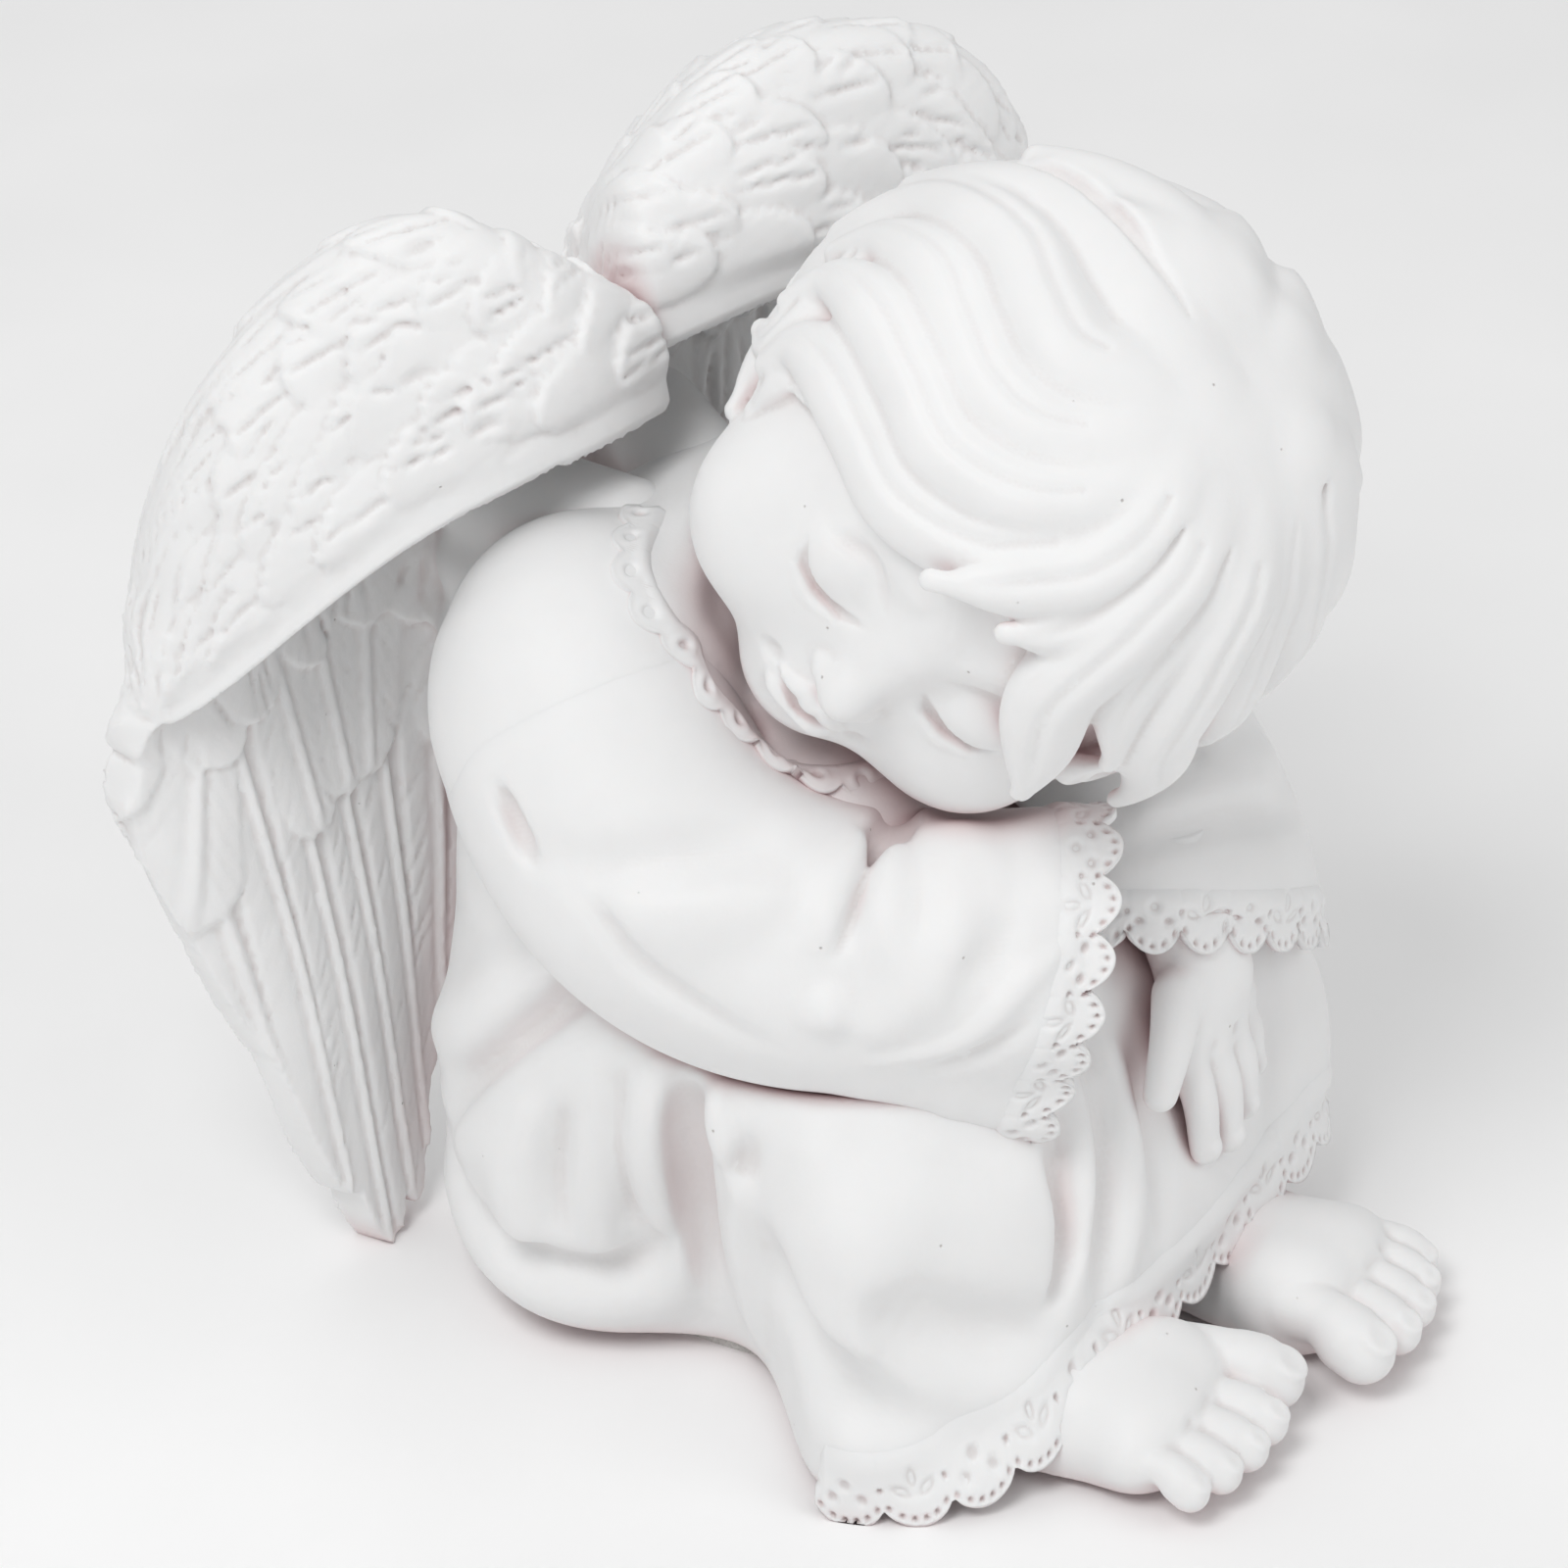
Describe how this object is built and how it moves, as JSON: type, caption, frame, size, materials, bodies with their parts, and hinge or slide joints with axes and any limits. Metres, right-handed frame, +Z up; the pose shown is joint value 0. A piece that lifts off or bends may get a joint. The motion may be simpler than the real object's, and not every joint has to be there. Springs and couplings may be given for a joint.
{
  "type": "cherub figurine",
  "caption": "White resin figurine of a seated, sleeping winged child in a lace-trimmed robe, head resting on crossed arms, with felt under the base.",
  "frame": {"origin": "on the table under the middle of the seat, in the plane of the felt's underside", "axes": "+Z up, the figure's knees and feet point to -Y, its right-hand side is -X and its wings are at +Y"},
  "size_m": [0.0838, 0.1038, 0.1105],
  "materials": {
    "white_resin": "matt cast surface, faint pinholes and a pinkish shade in the deepest creases",
    "dowel_steel": "drawn rod",
    "felt": "pressed wool felt"
  },
  "bodies": {
    "root": {"body_casting": "white_resin", "head_casting": "white_resin", "right_wing": "white_resin", "left_wing": "white_resin", "right_sleeve": "white_resin", "left_sleeve": "white_resin", "left_hand": "white_resin", "right_foot": "white_resin", "left_foot": "white_resin", "pour_plug": "white_resin", "right_wing_dowels": "dowel_steel", "left_wing_dowels": "dowel_steel", "neck_dowel": "dowel_steel", "base_felt": "felt"}
  },
  "joints": []
}
